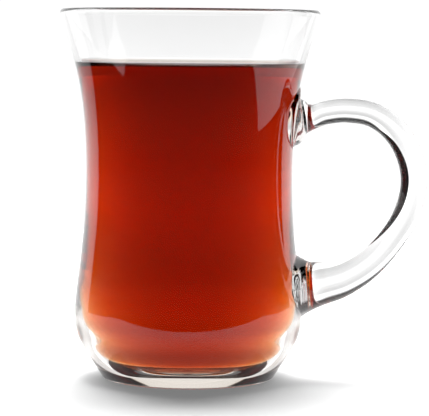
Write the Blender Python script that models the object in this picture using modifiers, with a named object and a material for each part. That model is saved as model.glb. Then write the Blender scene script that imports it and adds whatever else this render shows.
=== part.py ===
"""A handled tulip-shaped tea glass with tea in it, at its real size.

The glass is one piece of pressed glass: a turned body with a flared rim, a
waist, a round bulge and a thick foot, and a handle that is fused to its wall.
The tea is a second solid, which fills the bowl up to its level. The glass
stands on its foot at the origin, its axis is +Z and its handle points to +X.
"""
import math

import bmesh
import bpy
from mathutils import Vector
from mathutils.geometry import interpolate_bezier

MM = 0.001

# Driving dimensions of the glass body, in millimetres.
HEIGHT = 90.0
LIP_THICKNESS = 1.3
LIP_HEIGHT = 0.9
WAIST_RADIUS = 25.25
FOOT_RADIUS = 20.3
FOOT_ROUNDING = 1.5

# The outer wall as (radius, height) stations, from the lip down to the taper above the foot.
OUTER_WALL = (
    (31.75, HEIGHT - LIP_HEIGHT),
    (29.9, 82.7),
    (27.7, 75.0),
    (26.3, 67.4),
    (25.45, 58.0),
    (WAIST_RADIUS, 48.4),
    (25.6, 39.0),
    (26.7, 28.0),
    (27.85, 18.0),
    (27.7, 13.2),
    (26.9, 9.7),
    (24.6, 5.6),
    (22.4, 2.2),
)

# The inner wall as (radius, height) stations, from the middle of the bowl's floor up to the lip.
FLOOR_HEIGHT = 5.0
INNER_WALL = (
    (0.0, FLOOR_HEIGHT),
    (8.0, FLOOR_HEIGHT + 0.1),
    (11.5, FLOOR_HEIGHT + 1.0),
    (15.5, FLOOR_HEIGHT + 3.7),
    (18.9, FLOOR_HEIGHT + 7.6),
    (20.4, 17.5),
    (21.3, 25.5),
    (22.6, 39.0),
    (23.1, 48.4),
    (23.5, 58.0),
    (24.5, 67.4),
    (26.1, 75.0),
    (28.5, 82.7),
    (31.75 - LIP_THICKNESS, HEIGHT - LIP_HEIGHT),
)

# The tea: its level, the edge that climbs the wall, and the clearance that two meshes need.
TEA_LEVEL = 76.5
MENISCUS_RISE = 0.9
MENISCUS_REACH = 2.0
MENISCUS_SHARES = (1.0, 0.6, 0.3, 0.12)
CLEARANCE = 0.3
EDGE_MARGIN = 0.5

# The handle's middle line as (x, z, thickness) stations, from its upper root to its lower one.
HANDLE_LINE = (
    (25.0, 63.9, 17.0),
    (26.4, 63.8, 13.2),
    (27.9, 63.95, 8.9),
    (30.0, 64.2, 6.2),
    (33.4, 65.3, 6.0),
    (38.8, 65.8, 6.1),
    (45.2, 64.6, 6.2),
    (50.7, 60.3, 6.3),
    (54.1, 53.9, 6.45),
    (54.9, 47.4, 6.55),
    (53.1, 40.1, 6.6),
    (48.6, 33.1, 7.0),
    (43.0, 27.7, 8.2),
    (37.0, 24.4, 9.6),
    (31.4, 23.0, 11.2),
    (28.4, 22.6, 13.8),
    (24.4, 22.4, 18.4),
)
ROOT_WIDTH_RATIO = 1.2
ROOT_REACH = 4.0

# Fineness: sides around the axis, points in a span between two stations, points on the lip and
# the foot's edge, and sides around the handle.
TURN_SIDES = 64
SPAN_CUTS = 1
LIP_CUTS = 3
FOOT_CUTS = 2
HANDLE_CUTS = 2
HANDLE_BEVEL_RESOLUTION = 6
MERGE_DISTANCE = 0.01 * MM

# Looks: the colour that shows, the roughness, how much light passes, and how far light bends.
GLASS_LOOK = ((0.97, 0.98, 0.98), 0.02, 1.0, 1.5)
TEA_LOOK = ((0.42, 0.07, 0.02), 0.03, 0.6, 1.333)


def clear_scene():
    """Remove every object, so that the scene holds the glass alone."""
    for item in list(bpy.data.objects):
        bpy.data.objects.remove(item, do_unlink=True)


def new_collection(name):
    """Make a collection in the scene."""
    collection = bpy.data.collections.new(name)
    bpy.context.scene.collection.children.link(collection)
    return collection


def principled(name, colour, roughness, transmission, ior):
    """Make a Principled material for something that light passes through."""
    material = bpy.data.materials.new(name)
    material.use_nodes = True
    shader = material.node_tree.nodes["Principled BSDF"]
    shader.inputs["Base Color"].default_value = (*colour, 1.0)
    shader.inputs["Roughness"].default_value = roughness
    shader.inputs["Metallic"].default_value = 0.0
    shader.inputs["Transmission Weight"].default_value = transmission
    shader.inputs["IOR"].default_value = ior
    return material


def smooth_line(stations, cuts):
    """Points on a smooth curve through the stations, with some cuts between each two."""
    points = [Vector(station) for station in stations]
    last = len(points) - 1
    tangents = [
        (points[min(i + 1, last)] - points[max(i - 1, 0)]).normalized()
        for i in range(len(points))
    ]
    line = []
    for i in range(last):
        reach = (points[i + 1] - points[i]).length / 3
        handle_out = points[i] + tangents[i] * reach
        handle_in = points[i + 1] - tangents[i + 1] * reach
        span = interpolate_bezier(points[i], handle_out, handle_in, points[i + 1], cuts + 2)
        line.extend(span[:-1])
    line.append(points[-1])
    return line


def arc(centre, radius, start, end, cuts):
    """Points on an arc between two angles in degrees, with its two ends."""
    angles = [math.radians(start + (end - start) * i / (cuts + 1)) for i in range(cuts + 2)]
    return [Vector((centre[0] + radius * math.cos(a), centre[1] + radius * math.sin(a))) for a in angles]


def turned_mesh(name, outline):
    """An outline of (radius, height) points, as the mesh that a Screw modifier turns."""
    mesh = bpy.data.meshes.new(name)
    vertices = [(radius * MM, 0.0, height * MM) for radius, height in outline]
    edges = [(i, i + 1) for i in range(len(outline) - 1)]
    mesh.from_pydata(vertices, edges, [])
    return mesh


def add_turned(name, outline, collection):
    """Add an object that is turned about the Z axis."""
    item = bpy.data.objects.new(name, turned_mesh(name, outline))
    collection.objects.link(item)
    screw = item.modifiers.new("Turn", "SCREW")
    screw.axis = "Z"
    screw.angle = math.radians(360)
    screw.steps = TURN_SIDES
    screw.render_steps = TURN_SIDES
    screw.use_merge_vertices = True
    screw.merge_threshold = MERGE_DISTANCE
    screw.use_smooth_shade = True
    return item


def glass_outline():
    """The whole section of the body: the bowl's inside, the lip, the outer wall and the foot."""
    inner = smooth_line(INNER_WALL, SPAN_CUTS)
    outer = smooth_line(OUTER_WALL, SPAN_CUTS)
    lip_radius = LIP_THICKNESS / 2
    lip_middle = (OUTER_WALL[0][0] - lip_radius, HEIGHT - LIP_HEIGHT)
    lip = arc(lip_middle, lip_radius, 180, 0, LIP_CUTS)[1:-1]
    for point in lip:
        point.y = lip_middle[1] + (point.y - lip_middle[1]) * LIP_HEIGHT / lip_radius
    foot_middle = (FOOT_RADIUS, FOOT_ROUNDING)
    foot = arc(foot_middle, FOOT_ROUNDING, -45, -90, FOOT_CUTS)
    return [*inner, *lip, *outer, *foot, Vector((0.0, 0.0))]


def tea_outline():
    """The section of the tea: its surface, the meniscus, and the bowl's form less the clearance."""
    wall = smooth_line(INNER_WALL, SPAN_CUTS)
    side = []
    for i, point in enumerate(wall):
        along = wall[min(i + 1, len(wall) - 1)] - wall[max(i - 1, 0)]
        inward = Vector((-along.y, along.x)).normalized()
        moved = point + inward * CLEARANCE
        side.append(Vector((max(moved.x, 0.0), moved.y)))
    edge_height = TEA_LEVEL + MENISCUS_RISE
    side = [point for point in side if point.y < edge_height - EDGE_MARGIN]
    below = side[-1]
    slope = (side[-1] - side[-2]).normalized()
    edge = below + slope * (edge_height - below.y) / slope.y
    surface = [Vector((0.0, TEA_LEVEL))]
    for share in MENISCUS_SHARES:
        height = TEA_LEVEL + MENISCUS_RISE * (1 - share) ** 3
        surface.append(Vector((edge.x - MENISCUS_REACH * share, height)))
    return [*surface, edge, *reversed(side)]


def handle_mesh():
    """The handle as a bevelled curve, made a mesh with a round section."""
    line = smooth_line(HANDLE_LINE, HANDLE_CUTS)
    curve = bpy.data.curves.new("HandleLine", "CURVE")
    curve.dimensions = "3D"
    curve.bevel_depth = MM
    curve.bevel_resolution = HANDLE_BEVEL_RESOLUTION
    spline = curve.splines.new("POLY")
    spline.points.add(len(line) - 1)
    for point, (x, z, thickness) in zip(spline.points, line):
        point.co = (x * MM, 0.0, z * MM, 1.0)
        point.radius = thickness / 2
    item = bpy.data.objects.new("HandleLine", curve)
    bpy.context.scene.collection.objects.link(item)
    bpy.context.view_layer.update()
    graph = bpy.context.evaluated_depsgraph_get()
    mesh = bpy.data.meshes.new_from_object(item.evaluated_get(graph))
    matrix = item.matrix_world.copy()
    bpy.data.objects.remove(item, do_unlink=True)
    close_ends(mesh)
    shape_handle(mesh)
    return mesh, matrix


def close_ends(mesh):
    """Close the handle's two ends with fans, which can follow the wall's round."""
    editable = bmesh.new()
    editable.from_mesh(mesh)
    bmesh.ops.remove_doubles(editable, verts=editable.verts, dist=MERGE_DISTANCE)
    ends = bmesh.ops.holes_fill(editable, edges=editable.edges)
    bmesh.ops.poke(editable, faces=ends["faces"])
    bmesh.ops.recalc_face_normals(editable, faces=editable.faces)
    editable.to_mesh(mesh)
    editable.free()


def shape_handle(mesh):
    """Widen the flared roots, and wrap them about the wall."""
    for vertex in mesh.vertices:
        share = min(max((vertex.co.x / MM - WAIST_RADIUS) / ROOT_REACH, 0.0), 1.0)
        grip = share * share * (3 - 2 * share)
        vertex.co.y *= ROOT_WIDTH_RATIO + (1 - ROOT_WIDTH_RATIO) * grip
        y = vertex.co.y / MM
        wrap = WAIST_RADIUS - math.sqrt(WAIST_RADIUS ** 2 - y ** 2)
        vertex.co.x -= wrap * (1 - grip) * MM


def add_handle(collection):
    """Add the handle that the glass body is united with."""
    mesh, matrix = handle_mesh()
    item = bpy.data.objects.new("Handle", mesh)
    item.matrix_world = matrix
    collection.objects.link(item)
    item.hide_render = True
    item.display_type = "WIRE"
    return item


def add_glass(collection, joined):
    """Add the glass: the turned body, united with its handle."""
    glass = add_turned("glass", glass_outline(), collection)
    add_handle(joined)
    union = glass.modifiers.new("Handle", "BOOLEAN")
    union.operation = "UNION"
    union.operand_type = "COLLECTION"
    union.collection = joined
    union.solver = "EXACT"
    glass.data.materials.append(principled("clear glass", *GLASS_LOOK))
    return glass


def add_tea(collection):
    """Add the tea, clear of the glass by a hair."""
    tea = add_turned("tea", tea_outline(), collection)
    tea.data.materials.append(principled("black tea", *TEA_LOOK))
    return tea


def main():
    """Build the glass and its tea."""
    clear_scene()
    parts = new_collection("TeaGlass")
    joined = new_collection("Joined pieces")
    add_glass(parts, joined)
    add_tea(parts)


main()
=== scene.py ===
# %% [markdown]
# # A handled glass of black tea
# The real thing is one piece of pressed clear glass, with a fused handle, and
# the tea that fills it up to a finger's width below the lip. Almost all of its
# look is refraction, so this lesson is about three things: a true wall section,
# the right step of refractive index at each surface, and a room that the glass
# can bend and mirror.

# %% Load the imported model
import math

import bpy
from mathutils import Matrix, Vector
from mathutils.geometry import interpolate_bezier


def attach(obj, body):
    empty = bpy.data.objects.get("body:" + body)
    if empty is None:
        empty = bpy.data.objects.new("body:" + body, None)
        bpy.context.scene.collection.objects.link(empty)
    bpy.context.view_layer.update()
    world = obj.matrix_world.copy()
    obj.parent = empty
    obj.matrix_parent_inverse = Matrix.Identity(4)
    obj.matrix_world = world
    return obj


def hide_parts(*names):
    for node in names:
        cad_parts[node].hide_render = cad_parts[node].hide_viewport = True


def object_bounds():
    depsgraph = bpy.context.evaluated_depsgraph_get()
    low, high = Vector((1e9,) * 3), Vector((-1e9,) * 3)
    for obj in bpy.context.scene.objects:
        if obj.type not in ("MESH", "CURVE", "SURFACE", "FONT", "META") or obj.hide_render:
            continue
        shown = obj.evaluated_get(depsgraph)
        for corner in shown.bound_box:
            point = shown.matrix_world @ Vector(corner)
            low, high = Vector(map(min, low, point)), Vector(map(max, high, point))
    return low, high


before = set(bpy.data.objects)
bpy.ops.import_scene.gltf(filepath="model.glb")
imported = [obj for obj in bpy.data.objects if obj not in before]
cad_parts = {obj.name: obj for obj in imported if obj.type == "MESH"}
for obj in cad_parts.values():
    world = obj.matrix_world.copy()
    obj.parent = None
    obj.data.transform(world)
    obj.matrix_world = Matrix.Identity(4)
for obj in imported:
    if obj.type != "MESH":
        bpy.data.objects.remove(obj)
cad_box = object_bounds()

MM = 0.001
HEIGHT = round(cad_box[1][2] / MM, 2)
print("the packed model is", HEIGHT, "mm tall")

# %% [markdown]
# ## The camera
# The photograph was taken from just below the lip, a little above the middle of
# the glass, with a long lens. The field is 105 mm wide where the glass stands,
# so the lens follows from the distance. A slight roll makes the rim lean as in
# the picture.

# %% Place the camera
IMAGE_WIDTH = 429
MM_PER_PIXEL = 0.2452
CAMERA_DISTANCE = 520.0
CAMERA_ELEVATION = 4.6
CAMERA_ROLL = 0.5
CAMERA_AIM = Vector((6.25, 0.0, 41.57))
SENSOR_WIDTH = 36.0


def add_camera():
    """Add the camera on the handle's side view, aimed at the middle of the picture."""
    lens = bpy.data.cameras.new("Camera")
    lens.sensor_width = SENSOR_WIDTH
    lens.lens = SENSOR_WIDTH * CAMERA_DISTANCE / (MM_PER_PIXEL * IMAGE_WIDTH)
    lens.clip_start = 0.01
    camera = bpy.data.objects.new("Camera", lens)
    bpy.context.scene.collection.objects.link(camera)
    tilt = math.radians(CAMERA_ELEVATION)
    back = Vector((0.0, -math.cos(tilt), math.sin(tilt)))
    camera.location = (CAMERA_AIM + back * CAMERA_DISTANCE) * MM
    turn = (-back).to_track_quat("-Z", "Y").to_matrix().to_4x4()
    camera.rotation_euler = (turn @ Matrix.Rotation(math.radians(CAMERA_ROLL), 4, "Z")).to_euler()
    bpy.context.scene.camera = camera
    return camera


camera = add_camera()
print("the lens is", round(camera.data.lens, 1), "mm")

# %% [markdown]
# ## Node trees written as Python
# A shader's arithmetic reads best as arithmetic. One small class wraps a socket:
# an expression on it adds the Math nodes, and its method node() adds any other
# kind of node, with the settings first and then the values or links.


# %% Wrap a socket
class Shade:
    """A socket of a node tree that takes part in Python's arithmetic."""

    def __init__(self, tree, socket=None):
        self.tree = tree
        self.socket = socket

    def node(self, kind, settings=None, values=None):
        """Add a node, set it up, and fill its sockets with values or links."""
        made = self.tree.nodes.new(kind)
        for name, value in (settings or {}).items():
            setattr(made, name, value)
        for name, value in (values or {}).items():
            if isinstance(value, Shade):
                self.tree.links.new(value.socket, made.inputs[name])
            else:
                made.inputs[name].default_value = value
        return made

    def out(self, kind, settings=None, values=None, output=0):
        """Add a node and wrap one of its outputs."""
        return Shade(self.tree, self.node(kind, settings, values).outputs[output])

    def math(self, operation, *terms):
        """Add a Math node for an operation on this socket and other terms."""
        values = dict(enumerate(terms))
        return self.out("ShaderNodeMath", {"operation": operation}, values)

    def __add__(self, other):
        return self.math("ADD", self, other)

    def __radd__(self, other):
        return self.math("ADD", other, self)

    def __sub__(self, other):
        return self.math("SUBTRACT", self, other)

    def __rsub__(self, other):
        return self.math("SUBTRACT", other, self)

    def __mul__(self, other):
        return self.math("MULTIPLY", self, other)

    def __rmul__(self, other):
        return self.math("MULTIPLY", other, self)

    def rise(self, low, high):
        """A smooth step from 0 at low to 1 at high."""
        return self.out(
            "ShaderNodeMapRange",
            {"interpolation_type": "SMOOTHSTEP"},
            {"Value": self, "From Min": low, "From Max": high},
        )

    def through(self, stations):
        """A smooth curve through stations of (place, height), level beyond the ends."""
        place, height = stations[0]
        curve = height
        for next_place, next_height in stations[1:]:
            curve = curve + self.rise(place, next_place) * (next_height - height)
            place, height = next_place, next_height
        return curve

    def blend(self, low, high):
        """low where this is 0 and high where it is 1."""
        return low + self * (high - low)


# %% [markdown]
# ## The studio
# Clear glass has no colour of its own: it shows the room. The room here is a
# world that answers each ray by its direction and by how it comes. A mirrored
# ray sees tall white screens behind the glass and darkness elsewhere. A bent
# ray sees a backdrop that is bright at the sides, a little dimmer at the height
# of the glass, and black above. A ray that was mirrored inside the glass before
# it left sees a softer light of its own. All scattered light comes from high up
# behind, so that the shadow falls to the front. Each curve below is a row of
# stations: an angle in degrees and the brightness there.

# %% Describe the room
MIRRORED_AROUND = ((-61, 0.0), (-59, 1.4), (54, 1.4), (56, 0.0))
MIRRORED_UP = ((-12, 0.62), (-2, 1.0), (60, 1.0), (70, 0.0))
BENT_AROUND = ((-34, 1.45), (-4, 1.0), (4, 1.0), (34, 1.45))
BENT_UP = (
    (-60, 0.3),
    (-35, 0.72),
    (-20, 0.85),
    (-10, 1.25),
    (8, 0.72),
    (14, 1.15),
    (18, 1.15),
    (28, 0.01),
)
INNER_AROUND = ((-120, 0.35), (-80, 0.9), (80, 0.9), (120, 0.35))
INNER_UP = ((-50, 0.1), (-26, 1.0), (26, 1.0), (34, 0.18))
SOFT_AROUND = ((-65, 0.0), (-25, 1.0), (25, 1.0), (65, 0.0))
SOFT_UP = ((50, 4.8), (75, 16.0), (80, 16.0), (88, 4.8))
SEEN_WHITE = 1.05
ONE_TURN = (0.0, 0.5)


def light_the_room():
    """Make the world that the glass stands in."""
    world = bpy.data.worlds.new("Studio")
    bpy.context.scene.world = world
    world.use_nodes = True
    world.node_tree.nodes.clear()
    room = Shade(world.node_tree)
    direction = room.out("ShaderNodeTexCoord", output="Generated")
    axes = room.node("ShaderNodeSeparateXYZ", values={"Vector": direction})
    x, y, z = (Shade(room.tree, axes.outputs[name]) for name in "XYZ")
    around = room.math("DEGREES", room.math("ARCTAN2", x, y))
    up = room.math("DEGREES", room.math("ARCSINE", z))
    path = room.node("ShaderNodeLightPath")
    seen = Shade(room.tree, path.outputs["Is Camera Ray"])
    bent = Shade(room.tree, path.outputs["Is Transmission Ray"])
    sharp = Shade(room.tree, path.outputs["Is Glossy Ray"])
    mirrored_light = around.through(MIRRORED_AROUND) * up.through(MIRRORED_UP)
    bent_light = around.through(BENT_AROUND) * up.through(BENT_UP)
    inner = Shade(room.tree, path.outputs["Glossy Depth"]).rise(*ONE_TURN)
    bent_light = inner.blend(bent_light, around.through(INNER_AROUND) * up.through(INNER_UP))
    soft_light = around.through(SOFT_AROUND) * up.through(SOFT_UP)
    light = bent.blend(mirrored_light, bent_light)
    light = sharp.blend(soft_light, light)
    light = seen.blend(light, SEEN_WHITE)
    white = (1.0, 1.0, 1.0, 1.0)
    glow = room.node("ShaderNodeBackground", values={"Color": white, "Strength": light})
    output = room.node("ShaderNodeOutputWorld")
    room.tree.links.new(glow.outputs[0], output.inputs["Surface"])
    return world


studio = light_the_room()
print("the room has", len(studio.node_tree.nodes), "nodes")

# %% [markdown]
# ## Rays through glass
# A ray that reaches the tea crosses two walls and the drink, and one through
# the foot may turn back and forth inside it. It needs more bounces than an
# opaque thing does. Light that is bent onto the floor is left out, so that the
# shadow stays soft and grey.

# %% Set the bounces
scene = bpy.context.scene
scene.view_settings.view_transform = "Standard"
scene.cycles.use_denoising = True
scene.cycles.max_bounces = 24
scene.cycles.transmission_bounces = 20
scene.cycles.glossy_bounces = 12
scene.cycles.transparent_max_bounces = 24
scene.cycles.caustics_reflective = True
scene.cycles.caustics_refractive = False
scene.cycles.blur_glossy = 0.0

# %% [markdown]
# ## Selecting and editing in code
# Operators act on all that is selected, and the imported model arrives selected.
# So each piece starts with nothing selected, and leaves edit mode when it is
# done.


# %% Helpers for edit mode
def deselect_all():
    """Leave nothing selected."""
    for item in bpy.context.selected_objects:
        item.select_set(False)


def start_edit(piece):
    """Go into edit mode on one piece."""
    deselect_all()
    piece.select_set(True)
    bpy.context.view_layer.objects.active = piece
    bpy.ops.object.mode_set(mode="EDIT")


def end_edit():
    """Go back to object mode."""
    bpy.ops.object.mode_set(mode="OBJECT")


def settle(piece):
    """Put the piece's place into its mesh, so that its object sits at the origin."""
    deselect_all()
    piece.select_set(True)
    bpy.context.view_layer.objects.active = piece
    bpy.ops.object.transform_apply(location=True, rotation=True, scale=True)


def describe(piece):
    """Print how large a piece is and how many faces it has."""
    size = ", ".join(str(round(side / MM, 2)) for side in piece.dimensions)
    print(piece.name, "measures", size, "mm, with", len(piece.data.polygons), "faces")


# %% [markdown]
# ## The section of the glass
# A turned shape is its section. Each wall is a short row of stations, given as
# radius and height, and a smooth curve runs through them. The wall is thin at
# the lip, thickens below the waist and ends in a heavy foot, as in pressed
# glass.

# %% Give the stations of the two walls
LIP_THICKNESS = 1.3
LIP_HEIGHT = 0.9
WAIST_RADIUS = 25.25
FOOT_RADIUS = 20.3
FOOT_ROUNDING = 1.5
FLOOR_HEIGHT = 5.0
OUTER_WALL = (
    (31.75, HEIGHT - LIP_HEIGHT),
    (29.9, 82.7),
    (27.7, 75.0),
    (26.3, 67.4),
    (25.45, 58.0),
    (WAIST_RADIUS, 48.4),
    (25.6, 39.0),
    (26.7, 28.0),
    (27.85, 18.0),
    (27.7, 13.2),
    (26.9, 9.7),
    (24.6, 5.6),
    (22.4, 2.2),
)
INNER_WALL = (
    (0.0, FLOOR_HEIGHT),
    (8.0, FLOOR_HEIGHT + 0.1),
    (11.5, FLOOR_HEIGHT + 1.0),
    (15.5, FLOOR_HEIGHT + 3.7),
    (18.9, FLOOR_HEIGHT + 7.6),
    (20.4, 17.5),
    (21.3, 25.5),
    (22.6, 39.0),
    (23.1, 48.4),
    (23.5, 58.0),
    (24.5, 67.4),
    (26.1, 75.0),
    (28.5, 82.7),
    (31.75 - LIP_THICKNESS, HEIGHT - LIP_HEIGHT),
)
TEA_LEVEL = 76.5
MENISCUS_RISE = 0.9
MENISCUS_REACH = 2.0
CONTACT_HEIGHT = TEA_LEVEL + MENISCUS_RISE
SPAN_POINTS = 8
LIP_POINTS = 13
FOOT_POINTS = 9


# %% Draw smooth lines and arcs
def smooth_line(stations, span_points):
    """Points on a smooth curve through the stations, with some in each span."""
    points = [Vector(station) for station in stations]
    last = len(points) - 1
    tangents = [
        (points[min(i + 1, last)] - points[max(i - 1, 0)]).normalized()
        for i in range(len(points))
    ]
    line = []
    for i in range(last):
        reach = (points[i + 1] - points[i]).length / 3
        leaving = points[i] + tangents[i] * reach
        arriving = points[i + 1] - tangents[i + 1] * reach
        span = interpolate_bezier(points[i], leaving, arriving, points[i + 1], span_points + 1)
        line.extend(span[:-1])
    line.append(points[-1])
    return line


def arc(centre, radius, start, end, points):
    """Points on an arc between two angles in degrees, with its two ends."""
    angles = [math.radians(start + (end - start) * i / (points - 1)) for i in range(points)]
    middle = Vector(centre)
    return [middle + Vector((math.cos(a), math.sin(a))) * radius for a in angles]


def with_height(line, height):
    """The line with a point added where it passes a height on its way up."""
    for i in range(len(line) - 1):
        if line[i].y < height < line[i + 1].y:
            share = (height - line[i].y) / (line[i + 1].y - line[i].y)
            return [*line[: i + 1], line[i].lerp(line[i + 1], share), *line[i + 1 :]]
    return line


inner_line = with_height(smooth_line(INNER_WALL, SPAN_POINTS), CONTACT_HEIGHT)
outer_line = smooth_line(OUTER_WALL, SPAN_POINTS)
print("the section has", len(inner_line) + len(outer_line), "wall points")


# %% Join them into one outline
def glass_outline():
    """The whole section: the bowl's floor and wall, the lip, the outer wall and the foot."""
    half = LIP_THICKNESS / 2
    lip_middle = (OUTER_WALL[0][0] - half, HEIGHT - LIP_HEIGHT)
    lip = arc(lip_middle, half, 180, 0, LIP_POINTS)[1:-1]
    for point in lip:
        point.y = lip_middle[1] + (point.y - lip_middle[1]) * LIP_HEIGHT / half
    foot = arc((FOOT_RADIUS, FOOT_ROUNDING), FOOT_ROUNDING, -45, -90, FOOT_POINTS)
    return [*inner_line, *lip, *outer_line, *foot, Vector((0.0, 0.0))]


# %% [markdown]
# ## Turning a section
# The half section is drawn as a chain of edges, one extrusion after another,
# and spun once about the axis. The points on the axis come out once for each
# step, so doubles are merged before the normals are turned outwards.

# %% Spin an outline
TURN_STEPS = 192
MERGE = 0.002 * MM


def turned(name, outline):
    """Extrude a chain along the outline and spin it about the Z axis."""
    deselect_all()
    start = Vector((outline[0].x, 0.0, outline[0].y)) * MM
    bpy.ops.mesh.primitive_plane_add(size=MM, location=start)
    piece = bpy.context.object
    piece.name = name
    bpy.ops.object.mode_set(mode="EDIT")
    bpy.ops.mesh.select_all(action="SELECT")
    bpy.ops.mesh.merge(type="CENTER")
    for before, after in zip(outline, outline[1:]):
        step = Vector((after.x - before.x, 0.0, after.y - before.y)) * MM
        bpy.ops.mesh.extrude_region_move(TRANSFORM_OT_translate={"value": step})
    bpy.ops.mesh.select_all(action="SELECT")
    bpy.ops.mesh.spin(steps=TURN_STEPS, angle=math.tau, center=(0.0, 0.0, 0.0), axis=(0.0, 0.0, 1.0))
    bpy.ops.mesh.select_all(action="SELECT")
    bpy.ops.mesh.remove_doubles(threshold=MERGE)
    bpy.ops.mesh.normals_make_consistent(inside=False)
    end_edit()
    settle(piece)
    return piece


glass = turned("TeaGlass", glass_outline())
describe(glass)

# %% [markdown]
# ## The handle
# The handle is a round rod that leaves the wall as a wide root, thins at once
# to the grip and thickens again into the lower root. By hand one would take a
# disc and extrude, move, turn and scale it along the way, and so does this
# loop. Both ends start well inside the bowl and are cut off later.

# %% Sweep the handle
HANDLE_LINE = (
    (21.0, 63.9, 17.0),
    (25.0, 63.9, 17.0),
    (26.4, 63.8, 13.2),
    (27.9, 63.95, 8.9),
    (30.0, 64.2, 6.2),
    (33.4, 65.3, 6.0),
    (38.8, 65.8, 6.1),
    (45.2, 64.6, 6.2),
    (50.7, 60.3, 6.3),
    (54.1, 53.9, 6.45),
    (54.9, 47.4, 6.46),
    (53.1, 40.1, 6.6),
    (48.6, 33.1, 7.0),
    (43.0, 27.7, 8.2),
    (37.0, 24.4, 9.6),
    (31.4, 23.0, 11.2),
    (28.4, 22.6, 13.8),
    (24.4, 22.4, 18.4),
    (20.0, 22.4, 18.4),
)
HANDLE_SIDES = 64
HANDLE_SPAN_POINTS = 6
ROOT_WIDTH_RATIO = 1.2
ROOT_REACH = 4.0


def width_ratio(x):
    """How much wider than thick the handle is at a distance from the axis."""
    share = min(max((x - WAIST_RADIUS) / ROOT_REACH, 0.0), 1.0)
    grip = share * share * (3 - 2 * share)
    return ROOT_WIDTH_RATIO + (1 - ROOT_WIDTH_RATIO) * grip


def swept_handle(name):
    """Extrude a disc along the handle's line, turning and scaling it at each point."""
    line = smooth_line(HANDLE_LINE, HANDLE_SPAN_POINTS)
    last = len(line) - 1
    deselect_all()
    x, z, thickness = line[0]
    bpy.ops.mesh.primitive_circle_add(
        vertices=HANDLE_SIDES,
        radius=thickness / 2 * MM,
        fill_type="NGON",
        location=(x * MM, 0.0, z * MM),
        rotation=(0.0, math.radians(90), 0.0),
    )
    handle = bpy.context.object
    handle.name = name
    settle(handle)
    start_edit(handle)
    bpy.ops.mesh.select_all(action="SELECT")
    slope = 0.0
    ratio = 1.0
    for i in range(last + 1):
        ahead = line[min(i + 1, last)] - line[max(i - 1, 0)]
        new_slope = math.atan2(ahead.y, ahead.x)
        new_ratio = width_ratio(line[i].x)
        place = Vector((line[i].x, 0.0, line[i].y)) * MM
        grow = 1.0
        if i > 0:
            moved = line[i] - line[i - 1]
            step = Vector((moved.x, 0.0, moved.y)) * MM
            grow = line[i].z / line[i - 1].z
            bpy.ops.mesh.extrude_region_move(TRANSFORM_OT_translate={"value": step})
        turn = (new_slope - slope + math.pi) % math.tau - math.pi
        bpy.ops.transform.rotate(value=turn, orient_axis="Y", center_override=place)
        bpy.ops.transform.resize(
            value=(grow, grow * new_ratio / ratio, grow), center_override=place
        )
        slope = new_slope
        ratio = new_ratio
    bpy.ops.mesh.select_all(action="SELECT")
    bpy.ops.mesh.normals_make_consistent(inside=False)
    end_edit()
    return handle


handle = swept_handle("Handle")
describe(handle)

# %% [markdown]
# ## One piece of glass
# The handle's ends run on through the wall, so they are cut off inside it with
# a solid in the form of the bowl. Then the handle is united with the body: no
# face is left between them for a ray to bend at.

# %% Follow the bowl's form
ROOT_BITE = 0.8
SURFACE_STEPS = 16


def bowl_outline(bite):
    """The section of a solid that fills the bowl and reaches into its wall by a bite."""
    wall = [point for point in inner_line if point.y < CONTACT_HEIGHT + MERGE]
    side = []
    for i, point in enumerate(wall):
        along = wall[min(i + 1, len(wall) - 1)] - wall[max(i - 1, 0)]
        outward = Vector((along.y, -along.x)).normalized()
        moved = point + outward * bite
        side.append(Vector((max(moved.x, 0.0), moved.y)))
    side[0].x = 0.0
    edge = side[-1]
    surface = [Vector((0.0, TEA_LEVEL))]
    for i in range(SURFACE_STEPS):
        share = 1 - i / SURFACE_STEPS
        height = TEA_LEVEL + (edge.y - TEA_LEVEL) * (1 - share) ** 3
        surface.append(Vector((edge.x - MENISCUS_REACH * share, height)))
    return [*surface, *reversed(side)]


# %% Cut the handle's ends and fuse it to the body
def combine(body, part, operation):
    """Unite a body with a part or cut the part out of it, and remove the part."""
    change = body.modifiers.new(operation, "BOOLEAN")
    change.operation = operation
    change.object = part
    change.solver = "EXACT"
    deselect_all()
    body.select_set(True)
    bpy.context.view_layer.objects.active = body
    bpy.ops.object.modifier_apply(modifier=change.name)
    bpy.data.objects.remove(part, do_unlink=True)


SMOOTH_ANGLE = math.radians(38)


def smooth(piece):
    """Shade a piece smooth, except across its sharp edges."""
    deselect_all()
    piece.select_set(True)
    bpy.context.view_layer.objects.active = piece
    bpy.ops.object.shade_smooth_by_angle(angle=SMOOTH_ANGLE)


combine(handle, turned("Core", bowl_outline(ROOT_BITE)), "DIFFERENCE")
combine(glass, handle, "UNION")
smooth(glass)
describe(glass)


# %% [markdown]
# ## The tea
# The drink has the form of the bowl and a level top, with a narrow edge that
# climbs the wall. Its side reaches a hair into the glass: with a gap, each ray
# would meet a film of air, which shines like a mirror and gives the drink away.

# %% Turn the tea
WALL_BITE = 0.04
tea = turned("Tea", bowl_outline(WALL_BITE))
smooth(tea)
describe(tea)

# %% [markdown]
# ## The glass finish
# Light that goes from air into glass bends by an index of 1.5. Where tea wets
# the wall the step is only 1.5 to 1.333, so those faces get a second material
# with the ratio of the two. Pressed glass is never quite even, so a faint
# waviness bends what is seen through it.

# %% Make the two glass materials
GLASS_INDEX = 1.5
TEA_INDEX = 1.333
WAVES = {"Scale": 90.0, "Detail": 2.0, "Roughness": 0.4}
WAVE_HEIGHT = {"Strength": 0.02, "Distance": 0.5 * MM}
CLEAR = {"Base Color": (1.0, 1.0, 1.0, 1.0), "Roughness": 0.0, "Transmission Weight": 1.0}


def new_material(name):
    """Start a material with an empty node tree."""
    material = bpy.data.materials.new(name)
    material.use_nodes = True
    material.node_tree.nodes.clear()
    return material, Shade(material.node_tree)


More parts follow.
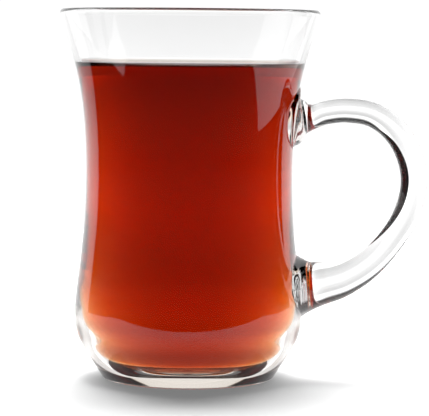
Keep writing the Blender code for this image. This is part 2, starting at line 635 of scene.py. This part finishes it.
def finish_material(shade, surface, volume=None):
    """Link the surface, and the volume if there is one, to the output."""
    output = shade.node("ShaderNodeOutputMaterial")
    shade.tree.links.new(surface.socket, output.inputs["Surface"])
    if volume:
        shade.tree.links.new(volume.socket, output.inputs["Volume"])


def pressed_glass(name, index):
    """Clear glass with the faint waviness of a pressed wall."""
    material, shade = new_material(name)
    place = shade.out("ShaderNodeTexCoord", output="Object")
    wave = shade.out("ShaderNodeTexNoise", values={"Vector": place, **WAVES})
    bump = shade.out("ShaderNodeBump", values={"Height": wave, **WAVE_HEIGHT})
    surface = shade.out("ShaderNodeBsdfPrincipled", values={**CLEAR, "IOR": index, "Normal": bump})
    finish_material(shade, surface)
    return material


dry_glass = pressed_glass("ClearGlass", GLASS_INDEX)
wet_glass = pressed_glass("WettedGlass", GLASS_INDEX / TEA_INDEX)


# %% Give the wetted faces their own material
WET_MARGIN = 0.3


def wall_radius(line, height):
    """The radius of a line of the section at a height."""
    for low, high in zip(line, line[1:]):
        if low.y <= height <= high.y:
            share = (height - low.y) / max(high.y - low.y, MERGE)
            return low.x + (high.x - low.x) * share
    return line[0].x


def wet_the_bowl(piece):
    """Put the second material on the inner faces below the tea's edge."""
    count = 0
    for face in piece.data.polygons:
        x, y, z = face.center / MM
        reach = wall_radius(inner_line, max(z, FLOOR_HEIGHT)) + WET_MARGIN
        level = FLOOR_HEIGHT - WET_MARGIN < z < CONTACT_HEIGHT
        wet = level and math.hypot(x, y) < reach
        face.material_index = int(wet)
        count += wet
    return count


glass.data.materials.clear()
glass.data.materials.append(dry_glass)
glass.data.materials.append(wet_glass)
print("wetted faces:", wet_the_bowl(glass))

# %% [markdown]
# ## The tea finish
# Tea colours light along its way, so its colour is a volume: the longer the
# path, the deeper the red. Its top is a water surface. Its sides bend nothing
# themselves, because the wetted glass does that already.

# %% Make the tea material
TEA_ABSORPTION = (33.0, 128.0, 240.0)


def mark_surface(piece):
    """Store on each face whether it is part of the tea's top."""
    mark = piece.data.attributes.new("surface", "FLOAT", "FACE")
    for i, face in enumerate(piece.data.polygons):
        upward = face.normal.z > 0 and face.center.z > (TEA_LEVEL - MENISCUS_RISE) * MM
        mark.data[i].value = float(upward)


def brewed_tea():
    """A coloured volume with a water surface on top."""
    material, shade = new_material("BlackTea")
    mark = shade.out("ShaderNodeAttribute", {"attribute_name": "surface"}, output="Fac")
    side = shade.out("ShaderNodeBsdfTransparent")
    top = shade.out("ShaderNodeBsdfPrincipled", values={**CLEAR, "IOR": TEA_INDEX})
    surface = shade.out("ShaderNodeMixShader", values={0: mark, 1: side, 2: top})
    density = max(TEA_ABSORPTION)
    colour = [1 - share / density for share in TEA_ABSORPTION]
    volume = shade.out(
        "ShaderNodeVolumeAbsorption", values={"Color": (*colour, 1.0), "Density": density}
    )
    finish_material(shade, surface, volume)
    return material


tea.data.materials.clear()
tea.data.materials.append(brewed_tea())
mark_surface(tea)

# %% [markdown]
# ## The floor
# The glass stands on a wide white disc in a white room. The camera and scattered
# light meet all of it. A mirrored ray meets only the table's own ground, from
# TABLE_FRONT and TABLE_LEFT on, and a bent ray meets it up to TABLE_BACK. Past
# that they see the room. The disc shines a little by itself, a painted glow that
# keeps the middle of the shadow grey. Rays mirrored by or bent through the glass
# meet a darker copy of its paint and a stronger glow: painted shade and light.

# %% Add the floor
FLOOR_RADIUS = 400.0
FLOOR_SIDES = 128
FLOOR_DROP = 0.05
TABLE_FRONT = -80.0
TABLE_LEFT = -200.0
TABLE_BACK = 35.0
TABLE_EDGE = 2.0
# The floor's paint and glow come in two copies. The camera and scattered light meet white paint with
# a faint painted glow, which keeps the middle of the shadow grey. Rays mirrored by or bent through
# the glass meet a darker copy of the paint, a painted shade, and a stronger painted glow.
FLOOR_SEEN = 0.92
FLOOR_SHADED_THROUGH_GLASS = 0.62
PAINTED_FLOOR_GLOW = 0.2
PAINTED_GLOW_THROUGH_GLASS = 0.35


def ground(place, start):
    """0 before a place in millimetres and 1 past it."""
    return place.rise((start - TABLE_EDGE) * MM, (start + TABLE_EDGE) * MM)


def floor_finish():
    """White paint with a painted glow. Rays off or through the glass meet it darker and glowing more,
    and only on the table's own ground.
    """
    material, shade = new_material("WhiteFloor")
    place = shade.out("ShaderNodeTexCoord", output="Object")
    axes = shade.node("ShaderNodeSeparateXYZ", values={"Vector": place})
    x, y = (Shade(shade.tree, axes.outputs[name]) for name in "XY")
    path = shade.node("ShaderNodeLightPath")
    straight = Shade(shade.tree, path.outputs["Is Camera Ray"])
    scattered = Shade(shade.tree, path.outputs["Diffuse Depth"]).rise(*ONE_TURN)
    bent = Shade(shade.tree, path.outputs["Is Transmission Ray"])
    sharp = Shade(shade.tree, path.outputs["Is Glossy Ray"])
    table = bent.blend(ground(y, TABLE_FRONT) * ground(x, TABLE_LEFT), 1 - ground(y, TABLE_BACK))
    shown = scattered.blend(straight.blend(table, 1.0), 1.0)
    # Painted shade and light: rays off or through the glass get darker paint and a stronger glow than
    # the camera does.
    paint = shade.out(
        "ShaderNodeBsdfPrincipled",
        values={
            "Base Color": sharp.blend(FLOOR_SEEN, FLOOR_SHADED_THROUGH_GLASS),
            "Roughness": 1.0,
            "Specular IOR Level": 0.0,
            "Emission Color": sharp.blend(PAINTED_FLOOR_GLOW, PAINTED_GLOW_THROUGH_GLASS),
            "Emission Strength": 1.0,
        },
    )
    clear = shade.out("ShaderNodeBsdfTransparent")
    finish_material(shade, shade.out("ShaderNodeMixShader", values={0: shown, 1: clear, 2: paint}))
    return material


def white_floor():
    """A wide pale disc under the foot."""
    deselect_all()
    bpy.ops.mesh.primitive_circle_add(
        vertices=FLOOR_SIDES,
        radius=FLOOR_RADIUS * MM,
        fill_type="NGON",
        location=(0.0, 0.0, -FLOOR_DROP * MM),
    )
    floor = bpy.context.object
    floor.name = "Floor"
    settle(floor)
    floor.data.materials.append(floor_finish())
    return floor


floor = white_floor()

# %% [markdown]
# ## The dark card
# A dark card stands behind the handle, out of the camera's sight. Only bent rays
# meet it, and it gives the handle's inner side its black edge.

# %% Stand the dark card
CARD_LEFT = 66.0
CARD_WIDTH = 110.0
CARD_BACK = 35.0
CARD_HEIGHT = 400.0


def dark_card():
    """A black card that only bent rays meet."""
    deselect_all()
    bpy.ops.mesh.primitive_plane_add(
        size=1.0,
        location=((CARD_LEFT + CARD_WIDTH / 2) * MM, CARD_BACK * MM, 0.0),
        rotation=(math.radians(90), 0.0, 0.0),
    )
    card = bpy.context.object
    card.name = "DarkCard"
    card.scale = (CARD_WIDTH * MM, CARD_HEIGHT * MM, 1.0)
    settle(card)
    material, shade = new_material("BlackCard")
    finish_material(shade, shade.out("ShaderNodeBsdfDiffuse", values={"Color": (0.0, 0.0, 0.0, 1.0)}))
    card.data.materials.append(material)
    card.visible_camera = False
    card.visible_diffuse = False
    card.visible_glossy = False
    card.visible_shadow = False
    return card


card = dark_card()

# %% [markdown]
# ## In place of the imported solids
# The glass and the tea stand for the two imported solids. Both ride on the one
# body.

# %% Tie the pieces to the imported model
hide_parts("glass")
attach(glass, "root")
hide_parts("tea")
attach(tea, "root")
